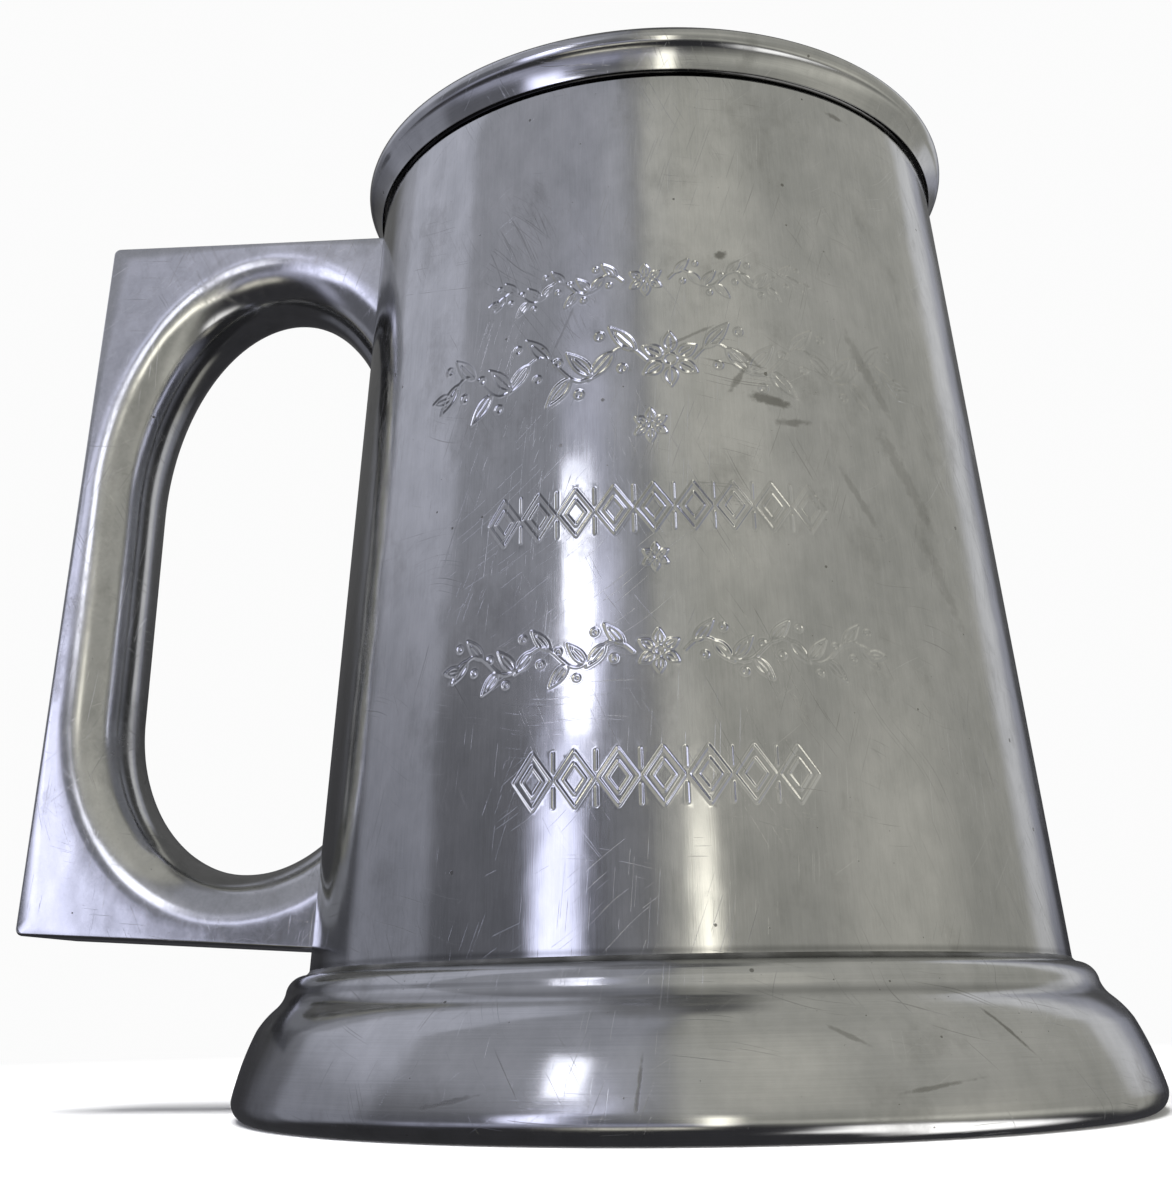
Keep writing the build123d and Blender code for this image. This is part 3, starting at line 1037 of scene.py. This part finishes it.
def paper_material():
    """The pale matt floor, with a faint mottle."""
    material = bpy.data.materials.new("pale_floor")
    material.use_nodes = True
    tree = material.node_tree
    shader = tree.nodes["Principled BSDF"]
    position = add_node(tree, "ShaderNodeTexCoord").outputs["Object"]
    mottle = add_node(tree, "ShaderNodeTexNoise", {"Vector": position, "Scale": 6.0}).outputs[0]
    colour = blend_colours(tree, mottle, (0.86, 0.86, 0.86, 1), (0.90, 0.90, 0.90, 1))
    tree.links.new(colour, shader.inputs["Base Color"])
    shader.inputs["Roughness"].default_value = 0.9
    shader.inputs["Specular IOR Level"].default_value = 0.2
    far = add_node(tree, "ShaderNodeVectorMath", {0: position}, operation="LENGTH").outputs["Value"]
    glow = add_node(tree, "ShaderNodeEmission")
    glow.inputs["Color"].default_value = (BACKGROUND, BACKGROUND, BACKGROUND, 1)
    faded = add_node(tree, "ShaderNodeMixShader")
    tree.links.new(ease(tree, far, 0.10, 0.30), faded.inputs[0])
    tree.links.new(shader.outputs[0], faded.inputs[1])
    tree.links.new(glow.outputs[0], faded.inputs[2])
    output = tree.nodes["Material Output"]
    tree.links.new(faded.outputs[0], output.inputs["Surface"])
    return material


# ---------------------------------------------------------------- light, floor and camera

COOL = (0.90, 0.93, 1.12)
VIOLET = (0.84, 0.86, 1.14)
WARM = (1.03, 1.02, 0.91)
LAMP = (1.04, 1.0, 0.86)
# Soft windows and pale walls that the pewter mirrors. Azimuth is in degrees from the camera's side,
# to the right, and lean is how far it moves for each degree above the horizon.
# Each: azimuth, lean, half-width, softness, lowest and highest elevation, colour and strength.
WINDOWS = [
    (-36, 0.0, 6.5, 4, -12, 13, VIOLET, 2.1),
    (-52, 1.35, 5, 4, 13, 22, VIOLET, 1.5),
    (-27, 0.0, 8, 5, 24, 33, VIOLET, 0.3),
    (6.5, 0.0, 2.4, 3, -25, 12, LAMP, 2.4),
    (-70, 0.0, 62, 8, -20, 90, COOL, 0.12),
    (-70, 0.0, 62, 8, 20, 75, COOL, 0.18),
    (66, 0.0, 70, 5, -20, 80, WARM, 0.35),
    (-6, 0.0, 13, 9, -8, 45, (1.0, 1.0, 1.0), 0.12),
    (68, 0.0, 18, 14, -30, 16, LAMP, 0.14),
    (24, 0.0, 15, 10, 20, 45, LAMP, 0.12),
    (-98, 0.0, 20, 0.7, 22, 75, COOL, 0.22),
    (-98, 0.0, 18, 3, -20, 22, COOL, 0.18),
    (134, 0.0, 12, 4, 2, 50, COOL, 0.30),
    (-35, 0.0, 40, 14, -26, -14, VIOLET, 0.40),
    (-14, 0.0, 16, 8, -38, -30, LAMP, 1.1),
    (60, 0.0, 40, 20, -30, -8, WARM, 0.22),
    (80, 0.0, 40, 12, -62, -34, (1.0, 0.99, 0.98), 2.0),
]
DARK_WALL = (0.045, 0.045, 0.050)
CEILING = (0.14, 0.14, 0.14)
BACKGROUND = 0.97


def window_light(tree, light, azimuth, elevation, window):
    """Adds one window or pale wall to the light."""
    offset, lean, half_width, soft, low, high, colour, strength = window
    leaning = maths(tree, "MULTIPLY", elevation, lean)
    centre = maths(tree, "ADD", leaning, CAMERA_AZIMUTH + offset)
    turned_to = maths(tree, "WRAP", maths(tree, "SUBTRACT", azimuth, centre), 180.0, -180.0)
    across = ease(
        tree, maths(tree, "ABSOLUTE", turned_to), half_width + soft, max(half_width - soft, 0.0)
    )
    above = ease(tree, elevation, low - 6, low + 6)
    below = ease(tree, elevation, high + 5, high - 5)
    amount = maths(tree, "MULTIPLY", across, maths(tree, "MULTIPLY", above, below))
    glow = tuple(c * strength for c in colour) + (1,)
    return blend_colours(tree, amount, light, glow, "ADD")


def studio_world():
    """A dim soft room with a few soft windows, and a plain near-white backdrop behind the object."""
    world = bpy.data.worlds.new("studio")
    bpy.context.scene.world = world
    world.use_nodes = True
    tree = world.node_tree
    tree.nodes.clear()
    direction = add_node(tree, "ShaderNodeTexCoord").outputs["Generated"]
    parts = add_node(tree, "ShaderNodeSeparateXYZ", {0: direction}).outputs
    azimuth = maths(tree, "MULTIPLY", maths(tree, "ARCTAN2", parts[1], parts[0]), 180 / math.pi)
    elevation = maths(tree, "MULTIPLY", maths(tree, "ARCSINE", parts[2]), 180 / math.pi)
    light = blend_colours(
        tree, ease(tree, elevation, 0.0, 35.0), (*DARK_WALL, 1), (*CEILING, 1)
    )
    for window in WINDOWS:
        light = window_light(tree, light, azimuth, elevation, window)
    seen = add_node(tree, "ShaderNodeLightPath").outputs["Is Camera Ray"]
    backdrop = (BACKGROUND, BACKGROUND, BACKGROUND, 1)
    shown = blend_colours(tree, seen, light, backdrop)
    surface = add_node(tree, "ShaderNodeBackground", {"Color": shown})
    output = add_node(tree, "ShaderNodeOutputWorld")
    tree.links.new(surface.outputs[0], output.inputs[0])
    bpy.context.scene.view_settings.view_transform = "Standard"


def overhead_light():
    """One large soft lamp for the floor and the contact shadow. The pewter doesn't mirror it."""
    lamp = bpy.data.lights.new("overhead", "AREA")
    lamp.shape = "DISK"
    lamp.size = 1.2
    lamp.energy = 34
    piece = bpy.data.objects.new("overhead", lamp)
    place = Vector((-0.2, -0.3, 1.3))
    piece.location = place
    piece.rotation_euler = place.to_track_quat("Z", "Y").to_euler()
    piece.visible_glossy = False
    bpy.context.scene.collection.objects.link(piece)


def side_panel():
    """A small soft panel near the tankard, which the foot and the drum's front mirror."""
    lamp = bpy.data.lights.new("side_panel", "AREA")
    lamp.shape = "RECTANGLE"
    lamp.size = 0.046
    lamp.size_y = 0.075
    lamp.energy = 0.025
    lamp.color = (0.86, 0.87, 1.0)
    piece = bpy.data.objects.new("side_panel", lamp)
    place = Vector((-0.115, -0.267, 0.150))
    front_of_foot = Vector((-0.010, -0.051, 0.005))
    piece.location = place
    piece.rotation_euler = (place - front_of_foot).to_track_quat("Z", "Y").to_euler()
    bpy.context.scene.collection.objects.link(piece)


def floor():
    """A plain pale round floor."""
    work = bmesh.new()
    bmesh.ops.create_circle(work, cap_ends=True, segments=96, radius=8.0)
    mesh = bpy.data.meshes.new("floor")
    work.to_mesh(mesh)
    work.free()
    piece = bpy.data.objects.new("floor", mesh)
    piece.data.materials.append(paper_material())
    piece.visible_glossy = False
    bpy.context.scene.collection.objects.link(piece)


def camera():
    """The camera: close to the tankard, just above the floor and looking up."""
    azimuth = math.radians(CAMERA_AZIMUTH)
    pan = math.radians(CAMERA_PAN)
    tilt = math.radians(CAMERA_TILT)
    roll = math.radians(CAMERA_ROLL)
    forward = Vector((math.sin(pan) * math.cos(tilt), math.cos(pan) * math.cos(tilt), math.sin(tilt)))
    level = forward.cross(Vector((0, 0, 1))).normalized()
    upright = level.cross(forward)
    right = level * math.cos(roll) + upright * math.sin(roll)
    up = upright * math.cos(roll) - level * math.sin(roll)
    lens = bpy.data.cameras.new("camera")
    lens.sensor_fit = "AUTO"
    lens.sensor_width = 36
    lens.lens = CAMERA_LENS
    lens.shift_x, lens.shift_y = CAMERA_SHIFT
    lens.clip_start = 0.005
    lens.clip_end = 50
    piece = bpy.data.objects.new("camera", lens)
    axes = Matrix((right, up, -forward)).transposed().to_4x4()
    place = Vector((
        CAMERA_DISTANCE * math.cos(azimuth), CAMERA_DISTANCE * math.sin(azimuth), CAMERA_HEIGHT
    )) * MM
    piece.matrix_world = Matrix.Translation(place) @ axes
    bpy.context.scene.collection.objects.link(piece)
    bpy.context.scene.camera = piece


# ---------------------------------------------------------------- the whole tankard

# Ragged marks: azimuth, height, half-length, half-width, angle of its length and strength
DRUM_MARKS = [
    (-75.3, 91.3, 1.0, 0.7, 20, 1.0),
    (-69.3, 72.9, 3.4, 0.8, -12, 0.9),
    (-74.0, 75.4, 2.6, 0.5, 55, 0.7),
    (-72.0, 78.0, 2.2, 0.4, -40, 0.6),
    (-66.0, 70.4, 2.6, 0.6, 5, 0.7),
    (-49.7, 114.8, 1.8, 0.5, -8, 0.8),
    (-81.5, 80.5, 5.0, 0.28, 25, 0.6),
    (-101.0, 82.7, 4.2, 0.25, 65, 0.5),
    (-51.0, 78.0, 7.0, 1.1, -62, 0.35),
    (-46.2, 66.0, 9.0, 1.4, -58, 0.35),
    (-56.0, 62.0, 6.0, 0.6, -60, 0.35),
    (-41.0, 54.0, 7.0, 1.2, -64, 0.30),
]
DRUM_SCUFFS = [
    (-109.0, 95.5, 9.5, 5.5, 80, 0.55),
    (-99.0, 84.0, 5.0, 3.0, 60, 0.40),
]
FOOT_MARKS = [
    (-90.6, 5.0, 2.6, 0.22, 84, 0.9),
    (-51.0, 8.6, 3.6, 0.24, -48, 0.9),
    (-62.0, 4.2, 4.0, 0.25, 8, 0.7),
    (-110.0, 3.4, 3.2, 0.3, 14, 0.6),
    (-70.0, 8.4, 2.2, 0.25, -30, 0.6),
]
# Narrow gaps darkened with painted shade: lowest and highest height, softness and strength
DRUM_SHADED_GAPS = [(117.5, 119.5, 0.15, 0.85), (15.6, 16.1, 0.25, 0.35)]
CAST_SHADED_GAPS = [(117.5, 117.9, 0.08, 0.5), (11.9, 12.5, 0.5, 0.45), (14.9, 15.4, 0.15, 0.6)]


def build():
    """Makes every piece, gives it its material and lets it ride on the one body."""
    vertical = (3.0, 0.12, 1.0)
    turned_marks = (0.05, 4.0, 4.0)
    drum_pewter = pewter(
        "brushed_pewter", round_place, vertical, DRUM_MARKS, DRUM_SCUFFS, DRUM_SHADED_GAPS
    )
    cast_pewter = pewter(
        "turned_pewter", round_place, turned_marks, FOOT_MARKS, (), CAST_SHADED_GAPS, 0.14
    )
    handle_pewter = pewter("buffed_pewter", flat_place, (1.2, 1.2, 1.2), roughness=0.15, wear=1.5)
    solder = solder_material()
    pieces = [
        (drum(), drum_pewter, "drum"),
        (rim(), cast_pewter, "cast_parts"),
        (foot(), cast_pewter, "cast_parts"),
        (cup_floor(), drum_pewter, "drum"),
        (handle(), handle_pewter, "handle"),
        (foot_joint(), solder, "solder"),
    ]
    for piece, material, slot in pieces:
        piece.data.materials.clear()
        piece.data.materials.append(material)
        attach(piece, "root")
    for name in ("rim_solder", "base_solder", "upper_handle_solder", "lower_handle_solder"):
        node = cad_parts[name]
        for material_slot in node.material_slots:
            material_slot.material = solder


build()
studio_world()
overhead_light()
side_panel()
floor()
camera()
